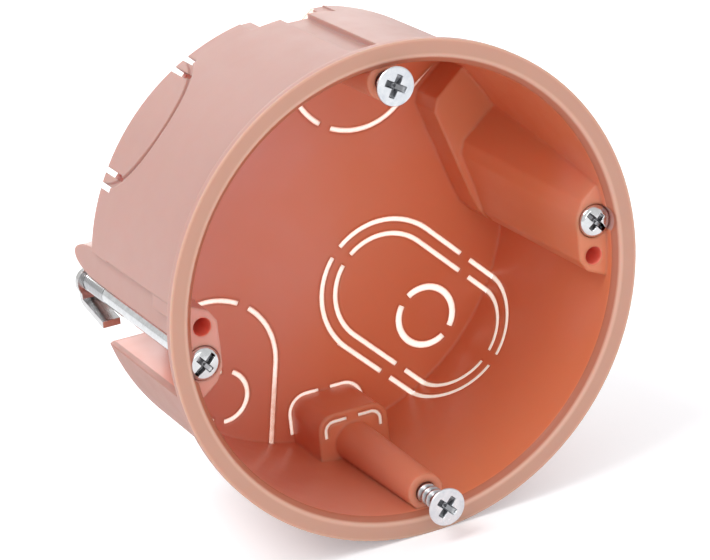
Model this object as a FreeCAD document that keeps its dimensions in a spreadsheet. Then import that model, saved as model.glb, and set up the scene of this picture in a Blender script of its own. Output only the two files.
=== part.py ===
import FreeCAD, Part
import math
import os

import Sketcher

# Round back box for a hole in plasterboard: one moulded housing, two device screws,
# and two claws that swing out and are drawn forward on their own screws.
# The axis of the box is Y. The mouth faces -Y, the wall cavity is at +Y, and +Z is up.
# The origin is the centre of the flange's back face, which sits on the board.

V = FreeCAD.Vector
doc = FreeCAD.newDocument("back_box")

# Driving dimensions in millimetres
SIZES = {
    "flange_diameter": (71.0, "outside of the flange"),
    "flange_thick": (1.2, "flange, front to back"),
    "flange_lip": (2.0, "flange beyond the body, for a 68 mm hole"),
    "mouth_edge": (2.3, "flange's outside to the mouth"),
    "mouth_slope": (1.0, "depth of the sloped edge inside the mouth"),
    "body_depth": (33.1, "flange's back face to the rear face"),
    "body_draft": (0.25, "radius that the body loses towards the rear"),
    "collar_long": (3.0, "full round stretch right behind the flange"),
    "wall_thick": (1.3, "side wall"),
    "floor_thick": (1.3, "rear wall"),
    "corner_cut": (0.7, "chamfer round the rear corner"),
    "screw_inset": (3.5, "outside of the body to a device screw"),
    "post_front": (0.3, "front end of a screw post"),
    "post_tip_radius": (2.65, "screw post at its front end"),
    "post_root_radius": (3.2, "screw post at the rear wall"),
    "notch_half": (6.5, "half width of the top and bottom rear notches"),
    "notch_depth": (4.9, "notch, along the axis"),
    "notch_deep": (1.1, "notch, into the side wall"),
    "groove_half": (2.1, "half width of the groove behind a screw post"),
    "groove_deep": (1.0, "depth of that groove"),
    "step_half": (5.6, "half width of the step under a notch"),
    "step_deep": (8.6, "outside of the body to the step's top"),
    "step_long": (10.4, "step, from the rear face forward"),
    "step_wall": (0.9, "wall of the step"),
    "step_corner": (2.6, "rounded corners of the step"),
    "boss_front": (1.1, "front face of the side bosses"),
    "boss_plate": (3.0, "thickness of the boss round the claw screw"),
    "boss_deep": (5.8, "outside of the body to the boss's inner edge"),
    "bulge_corner": (1.2, "cut corners of the boss and the bulge behind it"),
    "bulge_wall": (0.8, "wall of the side recesses"),
    "pocket_long": (7.3, "block over the recess's rear end, along the axis"),
    "spare_angle": (4.6, "spare device holes, degrees from the X axis"),
    "spare_radius": (1.3, "spare device hole"),
    "rib_half": (2.4, "half width of the rib with the spare hole"),
    "rib_sunk": (1.1, "rib's outer face below the body's outside"),
    "rib_beyond": (8.1, "rear tip of that rib, behind the rear face"),
    "recess_low": (6.4, "recess edge on the rib's side, along Z"),
    "recess_high": (9.2, "recess edge on the claw's side, along Z"),
    "fill_edge": (3.3, "edge of the closed part beside the rib, along Z"),
    "fill_end": (10.2, "where the recess beside the rib begins"),
    "claw_inset": (3.0, "outside of the body to a claw screw"),
    "claw_angle": (5.0, "claw screws, degrees from the X axis"),
    "claw_shank": (1.45, "radius of a claw screw"),
    "claw_screw_beyond": (9.2, "rear end of a claw screw, behind the rear face"),
    "claw_head_radius": (2.4, "head of a claw screw"),
    "claw_head_thick": (1.8, "head of a claw screw"),
    "claw_seat": (0.9, "depth of the seat for that head"),
    "claw_sheet": (1.0, "thickness of the claw's steel"),
    "claw_hub_radius": (2.35, "round end of the claw's hub"),
    "claw_hub_beyond": (7.6, "front face of the claw's hub, behind the rear face"),
    "claw_edge_beyond": (0.4, "gripping edge of the claw, behind the rear face"),
    "claw_arm_out": (4.5, "screw axis to the outside of the gripping edge"),
    "claw_arm_root": (3.2, "screw axis to the outside of the arm at the bend"),
    "claw_arm_low": (0.8, "arm's width on the box's side of the screw"),
    "claw_arm_high": (1.9, "arm's width on the outer side of the screw"),
    "running_gap": (0.05, "radial gap of a screw in its hole"),
    "seat_gap": (0.1, "radial gap round a seated head"),
    "screw_body": (1.5, "radius of a device screw over its thread"),
    "screw_long": (24.0, "device screw with its head"),
    "screw_head_radius": (2.75, "head of a device screw"),
    "screw_head_thick": (1.7, "countersunk head"),
    "screw_head_edge": (0.3, "straight edge of that head"),
    "head_top": (-2.8, "front of the upper device screw"),
    "head_bottom": (-6.1, "front of the lower device screw"),
    "cross_long": (3.2, "length of the cross recess"),
    "cross_wide": (0.75, "width of the cross recess"),
    "cross_deep": (0.9, "depth of the cross recess"),
    "slot_wide": (0.8, "width of a knock-out slot"),
    "fine_slot": (0.6, "width of the slots round a step"),
    "score_deep": (0.6, "depth of the scored line on the side wall"),
    "bridge_long": (1.9, "length of the plastic left between slots"),
    "exit_outer": (10.6, "outer cable exit, half width"),
    "exit_inner": (8.4, "inner cable exit, half width"),
    "exit_centre": (16.6, "axis to the centre of the exit's round end"),
    "exit_ring": (4.5, "round knock-out inside an exit"),
    "exit_ring_place": (25.0, "axis to that knock-out"),
    "side_exit_long": (6.0, "inner notches of the side exit, along the axis"),
    "side_exit_short": (3.7, "outer notches of the side exit, along the axis"),
    "corner_exit": (10.15, "half width of the single cable exits"),
    "corner_ring": (3.9, "round knock-out inside a single exit"),
}

sheet = doc.addObject("Spreadsheet::Sheet", "Sizes")
for row, (alias, (value, meaning)) in enumerate(SIZES.items(), start=1):
    sheet.set("A%d" % row, alias)
    sheet.set("B%d" % row, str(value))
    sheet.setAlias("B%d" % row, alias)
    sheet.set("C%d" % row, meaning)
doc.recompute()


def size(alias):
    """Current value of one driving dimension."""
    return float(getattr(sheet, alias))


def bind(obj, **expressions):
    """Bind properties of an object to the sheet; a double underscore stands for a dot."""
    for prop, expression in expressions.items():
        obj.setExpression(prop.replace("__", "."), expression)
    return obj


def box(name, x, y, z, wide, deep, high):
    """Box from its low corner and its three lengths, all given as expressions."""
    obj = doc.addObject("Part::Box", name)
    bind(obj, Length=wide, Width=deep, Height=high)
    return bind(obj, Placement__Base__x=x, Placement__Base__y=y, Placement__Base__z=z)


def rod(name, radius, x, y, z, long):
    """Cylinder along +Y, with its place, radius and length given as expressions."""
    obj = doc.addObject("Part::Cylinder", name)
    obj.Placement.Rotation = FreeCAD.Rotation(V(1, 0, 0), -90)
    bind(obj, Radius=radius, Height=long)
    return bind(obj, Placement__Base__x=x, Placement__Base__y=y, Placement__Base__z=z)


def feature(name, shape):
    """Shape worked out in this file from the sheet's values."""
    obj = doc.addObject("Part::Feature", name)
    obj.Shape = shape
    return obj


def fuse(name, objects):
    obj = doc.addObject("Part::MultiFuse", name)
    obj.Shapes = objects
    return obj


def cut(name, base, tool):
    obj = doc.addObject("Part::Cut", name)
    obj.Base = base
    obj.Tool = tool
    return obj


def half_turn(shape):
    """The same shape on the opposite side of the box, turned 180 degrees about Y."""
    other = shape.copy()
    other.rotate(V(0, 0, 0), V(0, 1, 0), 180)
    return other


def both_sides(shape):
    """A shape and its copy on the opposite side."""
    return Part.makeCompound([shape, half_turn(shape)])


def polar(radius, degrees):
    """Point (x, z) at a radius and at an angle from +X towards +Z."""
    angle = math.radians(degrees)
    return radius * math.cos(angle), radius * math.sin(angle)


def polygon(points, y):
    """Closed wire in the plane y from (x, z) points."""
    corners = [V(x, y, z) for x, z in points]
    return Part.makePolygon(corners + corners[:1])


def inset(points, wall):
    """Move the open chain of (x, z) points sideways by the wall, towards larger x."""
    lines = []
    for (x0, z0), (x1, z1) in zip(points, points[1:]):
        length = math.hypot(x1 - x0, z1 - z0)
        nx, nz = (z1 - z0) / length, -(x1 - x0) / length
        lines.append((x0 + nx * wall, z0 + nz * wall, x1 - x0, z1 - z0))
    first, last = lines[0], lines[-1]
    moved = [(first[0], first[1])]
    for (ax, az, adx, adz), (bx, bz, bdx, bdz) in zip(lines, lines[1:]):
        along = ((bx - ax) * bdz - (bz - az) * bdx) / (adx * bdz - adz * bdx)
        moved.append((ax + adx * along, az + adz * along))
    moved.append((last[0] + last[2], last[1] + last[3]))
    return moved


# Values worked out from the sheet
flange_front = -size("flange_thick")
flange_radius = size("flange_diameter") / 2
body_radius = flange_radius - size("flange_lip")
inner_radius = body_radius - size("wall_thick")
embed_radius = inner_radius + size("wall_thick") / 2
rear = size("body_depth")
floor_face = rear - size("floor_thick")
outside = body_radius + 5
screw_place = body_radius - size("screw_inset")
spare_x, spare_z = polar(screw_place, -size("spare_angle"))
claw_x, claw_z = polar(body_radius - size("claw_inset"), size("claw_angle"))
boss_inner = body_radius - size("boss_deep")
pocket_front = rear - size("pocket_long")
step_front = rear - size("step_long")
step_back = step_front + size("step_wall")
step_height = body_radius - size("step_deep")

# The same places as expressions, for the objects that are bound to the sheet
BODY = "(Sizes.flange_diameter / 2 - Sizes.flange_lip)"
SCREW = "(%s - Sizes.screw_inset)" % BODY
CLAW = "(%s - Sizes.claw_inset)" % BODY

# The cable exits keep their proportion to the body, for which their sizes were drawn
DRAWN_RADIUS = 33.5


def exit_size(alias):
    """Size of a cable exit, kept in proportion to the body."""
    return size(alias) * body_radius / DRAWN_RADIUS


def housing_profile():
    """Half section of the cup with its flange, turned about the Y axis."""
    body = doc.addObject("PartDesign::Body", "HousingBody")
    sketch = body.newObject("Sketcher::SketchObject", "HousingSection")
    planes = body.Origin.OriginFeatures
    sketch.AttachmentSupport = [(next(p for p in planes if p.Role == "XY_Plane"), "")]
    sketch.MapMode = "FlatFace"
    draft = size("body_draft")
    corners = [
        (flange_radius - size("mouth_edge"), flange_front),
        (flange_radius, flange_front),
        (flange_radius, 0),
        (body_radius, 0),
        (body_radius, size("collar_long")),
        (body_radius - draft, rear - size("corner_cut")),
        (body_radius - draft - size("corner_cut"), rear),
        (0, rear),
        (0, floor_face),
        (inner_radius, floor_face),
        (inner_radius, flange_front + size("mouth_slope")),
    ]
    count = len(corners)
    for index, (x, y) in enumerate(corners):
        nx, ny = corners[(index + 1) % count]
        sketch.addGeometry(Part.LineSegment(V(x, y, 0), V(nx, ny, 0)), False)
    for index in range(count):
        sketch.addConstraint(
            Sketcher.Constraint("Coincident", index, 2, (index + 1) % count, 1))
    inner = BODY + " - Sizes.wall_thick"
    front = "-Sizes.flange_thick"
    places = [
        ("Sizes.flange_diameter / 2 - Sizes.mouth_edge", front),
        ("Sizes.flange_diameter / 2", front),
        ("Sizes.flange_diameter / 2", "0"),
        (BODY, "0"),
        (BODY, "Sizes.collar_long"),
        (BODY + " - Sizes.body_draft", "Sizes.body_depth - Sizes.corner_cut"),
        (BODY + " - Sizes.body_draft - Sizes.corner_cut", "Sizes.body_depth"),
        ("0", "Sizes.body_depth"),
        ("0", "Sizes.body_depth - Sizes.floor_thick"),
        (inner, "Sizes.body_depth - Sizes.floor_thick"),
        (inner, front + " + Sizes.mouth_slope"),
    ]
    for index, (across, along) in enumerate(places):
        x, y = corners[index]
        for kind, value, expression in (("DistanceX", x, across), ("DistanceY", y, along)):
            place = sketch.addConstraint(Sketcher.Constraint(kind, -1, 1, index, 1, value))
            sketch.renameConstraint(place, "%s_%d" % (kind, index))
            if expression != "0":
                sketch.setExpression("Constraints.%s_%d" % (kind, index), expression)
    turned = body.newObject("PartDesign::Revolution", "HousingTurned")
    turned.Profile = sketch
    turned.ReferenceAxis = (sketch, ["V_Axis"])
    turned.Angle = 360
    body.Tip = turned
    return body


def bulge_outline(low, middle, high, low_slope, high_slope):
    """Outline of the right-hand bulge, from its lower wall corner round to its upper one.
    Each point is (towards the axis from the boss's inner edge, z). Its two outer corners are
    cut, and the slopes lead its sides out past the wall."""
    corners = [(boss_inner - deeper, z) for deeper, z in (low, middle, high)]
    far = outside + 4
    (low_x, low_z), (high_x, high_z) = corners[0], corners[-1]
    chain = [(far, low_z - (far - low_x) * low_slope)] + corners
    chain.append((far, high_z + (far - high_x) * high_slope))
    cut_off = size("bulge_corner")
    points = [chain[0]]
    for before, corner, after in ((chain[0], chain[1], chain[2]), (chain[2], chain[3], chain[4])):
        for end in (before, after):
            length = math.hypot(end[0] - corner[0], end[1] - corner[1])
            share = cut_off / length
            points.append((corner[0] + (end[0] - corner[0]) * share,
                           corner[1] + (end[1] - corner[1]) * share))
        if corner == chain[1]:
            points.append(chain[2])
    points.append(chain[-1])
    return points


boss_outline = bulge_outline((0.0, -4.0), (0.05, 0.6), (0.0, 5.0), 0.45, 0.78)
pocket_outline = bulge_outline((1.6, -2.7), (2.9, 2.5), (5.1, 9.2), 0.5, 0.81)
block_outline = bulge_outline((2.1, -2.4), (3.9, 2.0), (8.8, 16.4), 0.48, 0.825)


def pipe(radius, front, back):
    """Solid cylinder on the box's axis between two depths."""
    return Part.makeCylinder(radius, back - front, V(0, front, 0), V(0, 1, 0))


def side_bulge(wall, front, radius):
    """Bulge of one side, or with a wall the space behind it, cut off at a radius."""
    start = size("boss_front")
    stretch = (front - start) / (pocket_front - start)
    mixed = []
    for (ax, az), (bx, bz) in zip(boss_outline, pocket_outline):
        mixed.append((ax + (bx - ax) * stretch, az + (bz - az) * stretch))
    narrow = polygon(inset(mixed, wall), front)
    wide = polygon(inset(pocket_outline, wall), pocket_front + wall)
    channel = Part.makeLoft([narrow, wide], True, True)
    depth = rear + 1 - pocket_front - wall
    end = Part.Face(polygon(inset(block_outline, wall), pocket_front + wall))
    block = end.extrude(V(0, depth, 0))
    return channel.fuse(block).common(pipe(radius, front, rear + 1))


def bulges():
    """Solid bulges inside the cup, from the boss's face to the rear wall."""
    solid = side_bulge(0, size("boss_front"), embed_radius)
    return feature("Bulges", both_sides(solid.common(pipe(embed_radius, 0, floor_face + 0.5))))


def recesses():
    """Recess in each bulge for the claw, open to the outside and to the rear between its
    two edges."""
    start = size("boss_front") + size("boss_plate")
    space = side_bulge(size("bulge_wall"), start, outside)
    low, high = size("recess_low"), size("recess_high")
    window = Part.makeBox(outside, rear + 2, low + high, V(0, 0, -low))
    return feature("Recesses", both_sides(space.common(window)))


def rib_profile(front, end, tip, low, high):
    """Outline of a rib in the plane of Y and Z, with a rear end that is half an ellipse."""
    half = (high - low) / 2
    arc = Part.Arc(V(0, end, low), V(0, end + half, (low + high) / 2), V(0, end, high))
    stretched = FreeCAD.Matrix()
    stretched.move(V(0, -end, 0))
    stretched.scale(V(1, (tip - end) / half, 1))
    stretched.move(V(0, end, 0))
    corners = [V(0, end, high), V(0, front, high), V(0, front, low), V(0, end, low)]
    edges = [arc.toShape().transformGeometry(stretched)]
    edges += [Part.makeLine(a, b) for a, b in zip(corners, corners[1:])]
    return Part.Face(Part.Wire(edges))


def ribs():
    """Rib that holds a spare screw hole and runs out behind the box, with the closed part of
    the recess beside it, one on each side."""
    half, tip = size("rib_half"), rear + size("rib_beyond")
    front = size("boss_front") + size("boss_plate") - 1
    thin = size("bulge_wall") / 2
    face = rib_profile(front, rear, tip, spare_z - half, spare_z + half)
    face.translate(V(boss_inner, 0, 0))
    inside = side_bulge(thin, front, outside)
    tongue = Part.makeBox(outside, tip, 4 * half, V(boss_inner + thin, rear - 1, spare_z - 2 * half))
    rib = face.extrude(V(outside - boss_inner, 0, 0)).common(inside.fuse(tongue))
    rib = rib.common(pipe(body_radius - size("rib_sunk"), 0, tip + 1))
    low = -size("recess_low") - thin
    fill = Part.makeBox(outside, size("fill_end") - front, -size("fill_edge") - low,
                        V(boss_inner, front, low))
    fill = fill.common(inside).common(pipe(body_radius - size("body_draft"), 0, rear))
    return feature("Ribs", both_sides(rib.fuse(fill)))


def posts():
    """Two tapered posts for the device screws, at the top and the bottom."""
    made = []
    for name, side in (("PostTop", 1), ("PostBottom", -1)):
        post = doc.addObject("Part::Cone", name)
        post.Placement.Rotation = FreeCAD.Rotation(V(1, 0, 0), -90)
        bind(post, Radius1="Sizes.post_tip_radius", Radius2="Sizes.post_root_radius",
             Height="Sizes.body_depth - Sizes.floor_thick / 2 - Sizes.post_front",
             Placement__Base__y="Sizes.post_front",
             Placement__Base__z="%d * %s" % (side, SCREW))
        made.append(post)
    return made


def rounded_block(half, low, high, front, back, corner):
    """Block across X from -half to half, with its two corners nearest the axis rounded."""
    block = Part.makeBox(2 * half, back - front, high - low, V(-half, front, low))
    edges = []
    for edge in block.Edges:
        middle = edge.CenterOfMass
        if abs(middle.z - low) < 1e-6 and abs(abs(middle.x) - half) < 1e-6:
            edges.append(edge)
    return block.makeFillet(corner, edges)


def steps():
    """Inside of each rear notch: a rounded block against the side wall."""
    block = rounded_block(size("step_half"), step_height, body_radius, step_front,
                          rear - size("floor_thick") / 2, size("step_corner"))
    return feature("Steps", both_sides(block.common(pipe(embed_radius, 0, rear))))


def notches():
    """Rear notch at the top and the bottom, the hollow of the step under it, and the groove
    that leads to the flange."""
    wall, half = size("step_wall"), size("step_half") - size("step_wall")
    notch_floor = body_radius - size("notch_deep")
    ceiling = inner_radius - 1
    notch_front = rear - size("notch_depth")
    hollow = rounded_block(half, step_height + wall, ceiling, step_back, rear + 1,
                           size("step_corner") - wall)
    opening = Part.makeBox(2 * half, size("notch_depth") + 1, outside - ceiling + 1,
                           V(-half, notch_front, ceiling - 1))
    wide = size("notch_half")
    notch = Part.makeBox(2 * wide, size("notch_depth") + 1, outside - notch_floor,
                         V(-wide, notch_front, notch_floor))
    groove_half, groove_floor = size("groove_half"), body_radius - size("groove_deep")
    groove = Part.makeBox(2 * groove_half, rear + 1, outside - groove_floor,
                          V(-groove_half, size("collar_long"), groove_floor))
    return feature("Notches", both_sides(hollow.fuse([opening, notch, groove])))


def arc_slot(cx, cz, radius, start, end, wide, front, back):
    """Curved slot through a wall square to Y, about (cx, cz), between two angles."""
    corners = []
    for r in (radius + wide / 2, radius - wide / 2):
        for degrees in (start, (start + end) / 2, end):
            x, z = polar(r, degrees)
            corners.append(V(cx + x, front, cz + z))
    edges = [
        Part.Arc(corners[0], corners[1], corners[2]).toShape(),
        Part.LineSegment(corners[2], corners[5]).toShape(),
        Part.Arc(corners[5], corners[4], corners[3]).toShape(),
        Part.LineSegment(corners[3], corners[0]).toShape(),
    ]
    return Part.Face(Part.Wire(edges)).extrude(V(0, back - front, 0))


def bar_slot(x0, z0, x1, z1, wide, front, back):
    """Straight slot through a wall square to Y."""
    length = math.hypot(x1 - x0, z1 - z0)
    bar = Part.makeBox(length, back - front, wide, V(0, front, -wide / 2))
    bar.rotate(V(0, 0, 0), V(0, 1, 0), -math.degrees(math.atan2(z1 - z0, x1 - x0)))
    bar.translate(V(x0, 0, z0))
    return bar


def through_floor():
    """Depths that a slot in the rear wall runs between."""
    return floor_face - 0.3, rear + 0.3


def long_exit(half, side_gaps):
    """One slot line of a cable exit that starts on the rear wall and wraps on to the side
    wall. It is drawn along +X. The bridges are at the round end, at each distance of
    side_gaps along both sides, and at the middle of the curve on the side wall."""
    wide, gap = size("slot_wide"), size("bridge_long")
    front, back = through_floor()
    centre = exit_size("exit_centre")
    opening = math.degrees(gap / 2 / half)
    parts = [
        arc_slot(centre, 0, half, 90, 180 - opening, wide, front, back),
        arc_slot(centre, 0, half, 180 + opening, 270, wide, front, back),
    ]
    for z in (half, -half):
        start = centre
        for stop in side_gaps:
            if stop - gap / 2 > start:
                parts.append(bar_slot(start, z, stop - gap / 2, z, wide, front, back))
            start = stop + gap / 2
        parts.append(bar_slot(start, z, outside, z, wide, front, back))
    inside = math.sqrt(inner_radius ** 2 - half ** 2) - 1.5
    line = side_arch(half, wide, floor_face, inside)
    bridge = Part.makeBox(outside, half + 2, gap, V(0, floor_face - half - 2, -gap / 2))
    behind = Part.makeBox(outside, 2 * half, 4 * half, V(0, floor_face, -2 * half))
    parts.append(line.cut(bridge).cut(behind))
    return parts


def side_arch(half, wide, centre, inside):
    """Round line of a half width on the side wall at +X, about a centre at a given depth."""
    base, out = V(inside, centre, 0), V(1, 0, 0)
    outer = Part.makeCylinder(half + wide / 2, outside - inside, base, out)
    return outer.cut(Part.makeCylinder(half - wide / 2, outside - inside, base, out))


def side_exit():
    """Exit in the side wall alone, at +X: a scored arch, and four notches in the rear edge."""
    outer, inner = exit_size("exit_outer"), exit_size("exit_inner")
    wide = size("slot_wide")
    score = side_arch(outer, wide, rear, inner_radius / 2)
    parts = [score.cut(pipe(body_radius - size("score_deep"), 0, rear + 1))]
    for half, long in ((outer, size("side_exit_short")), (inner, size("side_exit_long"))):
        start = math.sqrt(inner_radius ** 2 - half ** 2) - 1
        for z in (half, -half):
            parts.append(bar_slot(start, z, outside, z, wide, rear - long, rear + 1))
    return parts


def ring_exit(cx, cz, radius, gap_angle, wide):
    """Round knock-out with two bridges on a line at gap_angle."""
    front, back = through_floor()
    opening = math.degrees(size("bridge_long") * 0.45 / radius)
    return [arc_slot(cx, cz, radius, gap_angle + opening + turn,
                     gap_angle + 180 - opening + turn, wide, front, back)
            for turn in (0, 180)]


def single_exit(cx, cz, axis, bridge):
    """Arch-shaped slot about (cx, cz) that opens along the angle axis. Its one bridge is at
    an angle from that axis."""
    wide, half = size("slot_wide"), exit_size("corner_exit")
    front, back = through_floor()
    opening = math.degrees(size("bridge_long") / 2 / half)
    parts = [
        arc_slot(cx, cz, half, axis + 90, axis + bridge - opening, wide, front, back),
        arc_slot(cx, cz, half, axis + bridge + opening, axis + 270, wide, front, back),
    ]
    dx, dz = polar(outside, axis)
    for side in (90, -90):
        x, z = polar(half, axis + side)
        parts.append(bar_slot(cx + x, cz + z, cx + x + dx, cz + z + dz, wide, front, back))
    return parts


def knock_outs():
    """All slots of the knock-outs, kept clear of the bulges and the steps."""
    wide = size("slot_wide")
    near, far = body_radius * 0.42, body_radius * 0.743
    long_parts = long_exit(exit_size("exit_outer"), (near, far))
    long_parts += long_exit(exit_size("exit_inner"), (body_radius * 0.788,))
    long_parts += ring_exit(exit_size("exit_ring_place"), 0, exit_size("exit_ring"), 0, wide * 1.35)
    slots = []
    for angle, parts in ((-45, long_parts), (136, side_exit())):
        for part in parts:
            part.rotate(V(0, 0, 0), V(0, 1, 0), -angle)
        slots += parts
    ring = exit_size("corner_ring")
    for reach, angle, axis, bridge in ((0.765, 67, 34, 203.5), (0.718, 224.3, -100, 154)):
        slots += single_exit(*polar(body_radius * reach, angle), axis, bridge)
    for reach, angle, gap in ((0.825, 62.4, 140), (0.804, 233.3, 73)):
        slots += ring_exit(*polar(body_radius * reach, angle), ring, gap, wide)
    shape = slots[0].multiFuse(slots[1:])
    keep = both_sides(side_bulge(-0.6, size("boss_front"), outside))
    margin = size("fine_slot") + 0.6
    block = rounded_block(size("step_half") + margin, step_height - margin, outside,
                          step_front - 1, rear + 1, size("step_corner") + margin)
    return feature("KnockOuts", shape.cut(keep).cut(both_sides(block)))


def step_slots():
    """Slots that follow a step: round its root on the rear wall, and along the edge of its
    front wall."""
    wide, gap = size("fine_slot"), size("bridge_long") / 2
    corner, flat = size("step_corner"), size("step_half") - size("step_corner")
    centre = step_height + corner
    inner = size("step_wall") + wide / 2
    lines = [
        (corner + wide / 2, body_radius - 3, *through_floor()),
        (corner - inner, centre + 1, step_front - 0.3, step_back + 0.3),
    ]
    slots = []
    for radius, end, front, back in lines:
        for side, start_angle in ((1, -90), (-1, 180)):
            slots.append(bar_slot(side * gap, centre - radius, side * flat, centre - radius,
                                  wide, front, back))
            slots.append(arc_slot(side * flat, centre, radius, start_angle, start_angle + 90,
                                  wide, front, back))
            slots.append(bar_slot(side * (flat + radius), centre, side * (flat + radius), end,
                                  wide, front, back))
    shape = slots[0].multiFuse(slots[1:])
    return feature("StepSlots", both_sides(shape))


def screw_holes():
    """Holes for all screws, the seats for the claw screws' heads and the spare holes."""
    made = []
    for name, side in (("BoreTop", 1), ("BoreBottom", -1)):
        made.append(rod(name, "Sizes.screw_body + Sizes.running_gap", "0",
                        "Sizes.post_front - 1", "%d * %s" % (side, SCREW),
                        "Sizes.body_depth - Sizes.step_long + Sizes.step_wall"
                        " - Sizes.post_front + 2"))
    for name, side in (("Right", 1), ("Left", -1)):
        x, z = claw_axis(side)
        made.append(rod("ClawBore" + name, "Sizes.claw_shank + Sizes.running_gap", x,
                        "Sizes.boss_front - 1", z, "Sizes.boss_plate + 3"))
        made.append(rod("ClawSeat" + name, "Sizes.claw_head_radius + Sizes.seat_gap", x,
                        "Sizes.boss_front - 2", z, "Sizes.claw_seat + 2"))
        x = "%d * %s * cos(Sizes.spare_angle * 1 deg)" % (side, SCREW)
        z = "%d * %s * sin(Sizes.spare_angle * 1 deg)" % (-side, SCREW)
        made.append(rod("SpareBore" + name, "Sizes.spare_radius", x,
                        "Sizes.boss_front - 1", z, "Sizes.body_depth - Sizes.boss_front + 1"))
    return made


def claw_axis(side):
    """Place of a claw screw as two expressions; side is 1 on the right and -1 on the left."""
    return tuple("%d * %s * %s(Sizes.claw_angle * 1 deg)" % (side, CLAW, part)
                 for part in ("cos", "sin"))


def housing():
    """The moulded box: cup, bulges, posts and steps, then recesses, ribs, holes and slots."""
    full = fuse("HousingFull", [housing_profile(), bulges(), steps()] + posts())
    hollow = cut("HousingHollow", full, fuse("HousingSpaces", [recesses(), notches()]))
    ribbed = fuse("HousingRibbed", [hollow, ribs()])
    drilled = cut("HousingDrilled", ribbed, fuse("HousingHoles", screw_holes()))
    return cut("box_shell", drilled, fuse("HousingSlots", [knock_outs(), step_slots()]))


def cross_recess(name, x, y, z):
    """Cross for the screwdriver, cut from the front of a head at the expression y."""
    bars = []
    for label, wide, high in (("Flat", "cross_long", "cross_wide"),
                              ("Tall", "cross_wide", "cross_long")):
        bars.append(box(name + label, "%s - Sizes.%s / 2" % (x, wide), "%s - 1" % y,
                        "%s - Sizes.%s / 2" % (z, high), "Sizes." + wide,
                        "Sizes.cross_deep + 1", "Sizes." + high))
    return fuse(name, bars)


def device_screw(node, head_front, side):
    """Countersunk device screw; its thread is left off."""
    z = "%d * %s" % (side, SCREW)
    y = "Sizes." + head_front
    edge = y + " + Sizes.screw_head_edge"
    head = doc.addObject("Part::Cone", node + "_head")
    head.Placement.Rotation = FreeCAD.Rotation(V(1, 0, 0), -90)
    bind(head, Radius1="Sizes.screw_head_radius", Radius2="Sizes.screw_body",
         Height="Sizes.screw_head_thick - Sizes.screw_head_edge", Placement__Base__y=edge,
         Placement__Base__z=z)
    rim = rod(node + "_rim", "Sizes.screw_head_radius", "0", y, z, "Sizes.screw_head_edge")
    shank = rod(node + "_shank", "Sizes.screw_body", "0", edge, z,
                "Sizes.screw_long - Sizes.screw_head_edge")
    whole = fuse(node + "_whole", [head, rim, shank])
    return cut(node, whole, cross_recess(node + "_cross", "0", y, z))


def claw_screw(node, side):
    """Pan-headed claw screw, seated in the boss and reaching out behind the box."""
    x, z = claw_axis(side)
    seat = "Sizes.boss_front + Sizes.claw_seat"
    front = "%s - Sizes.claw_head_thick" % seat
    head = rod(node + "_head", "Sizes.claw_head_radius", x, front, z, "Sizes.claw_head_thick")
    shank = rod(node + "_shank", "Sizes.claw_shank", x, "%s - 0.5" % seat, z,
                "Sizes.body_depth + Sizes.claw_screw_beyond - (%s) + 0.5" % seat)
    whole = fuse(node + "_whole", [head, shank])
    return cut(node, whole, cross_recess(node + "_cross", x, "(%s)" % front, z))


def claw_shape():
    """Right-hand claw of bent steel: hub plate on the screw, and an arm that leans
    outwards as it runs forward to the gripping edge."""
    thick = size("claw_sheet")
    hub_front = rear + size("claw_hub_beyond")
    hub_back = hub_front + thick
    edge = rear + size("claw_edge_beyond")
    root, out = size("claw_arm_root"), size("claw_arm_out")
    hub = pipe(size("claw_hub_radius"), hub_front, hub_back)
    hub.translate(V(claw_x, 0, claw_z))
    low, high = size("claw_arm_low"), size("claw_arm_high")
    plate = Part.makeBox(low + high, thick, root - thick, V(claw_x - low, hub_front, claw_z))
    round_off = thick * 0.3
    profile = [
        (hub_back, claw_z + root - thick),
        (hub_back - round_off, claw_z + root - round_off),
        (hub_back - thick, claw_z + root),
        (edge, claw_z + out),
        (edge, claw_z + out - thick),
        (hub_front, claw_z + root - thick),
    ]
    corners = [V(claw_x - low, y, z) for y, z in profile]
    arm = Part.Face(Part.makePolygon(corners + corners[:1])).extrude(V(low + high, 0, 0))
    bore = pipe(size("claw_shank") + size("running_gap"), hub_front - 1, hub_back + 1)
    bore.translate(V(claw_x, 0, claw_z))
    return hub.fuse([plate, arm]).removeSplitter().cut(bore)


nodes = {"box_shell": housing()}
nodes["device_screw_top"] = device_screw("device_screw_top", "head_top", 1)
nodes["device_screw_bottom"] = device_screw("device_screw_bottom", "head_bottom", -1)
nodes["claw_screw_right"] = claw_screw("claw_screw_right", 1)
nodes["claw_screw_left"] = claw_screw("claw_screw_left", -1)
nodes["claw_right"] = feature("claw_right", claw_shape())
nodes["claw_left"] = feature("claw_left", half_turn(claw_shape()))
for node, obj in nodes.items():
    obj.Label = node
doc.recompute()

# Every object must be sound before anything is written
for obj in doc.Objects:
    if "Invalid" in obj.State or "Error" in obj.State:
        raise RuntimeError("%s failed: %s" % (obj.Label, obj.State))
for node, obj in nodes.items():
    shape = obj.Shape
    if shape.isNull() or not shape.isValid() or shape.Volume <= 0:
        raise RuntimeError("%s has no sound shape" % node)

os.makedirs("parts", exist_ok=True)
for node, obj in nodes.items():
    obj.Shape.exportStep("parts/%s.step" % node)
    bounds = obj.Shape.BoundBox
    print(node, "solids", len(obj.Shape.Solids), "faces", len(obj.Shape.Faces),
          "volume %.1f" % obj.Shape.Volume, "Y %.2f to %.2f" % (bounds.YMin, bounds.YMax))
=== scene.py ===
import math

import bmesh
import bpy
import numpy as np
from mathutils import Matrix, Vector


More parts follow.
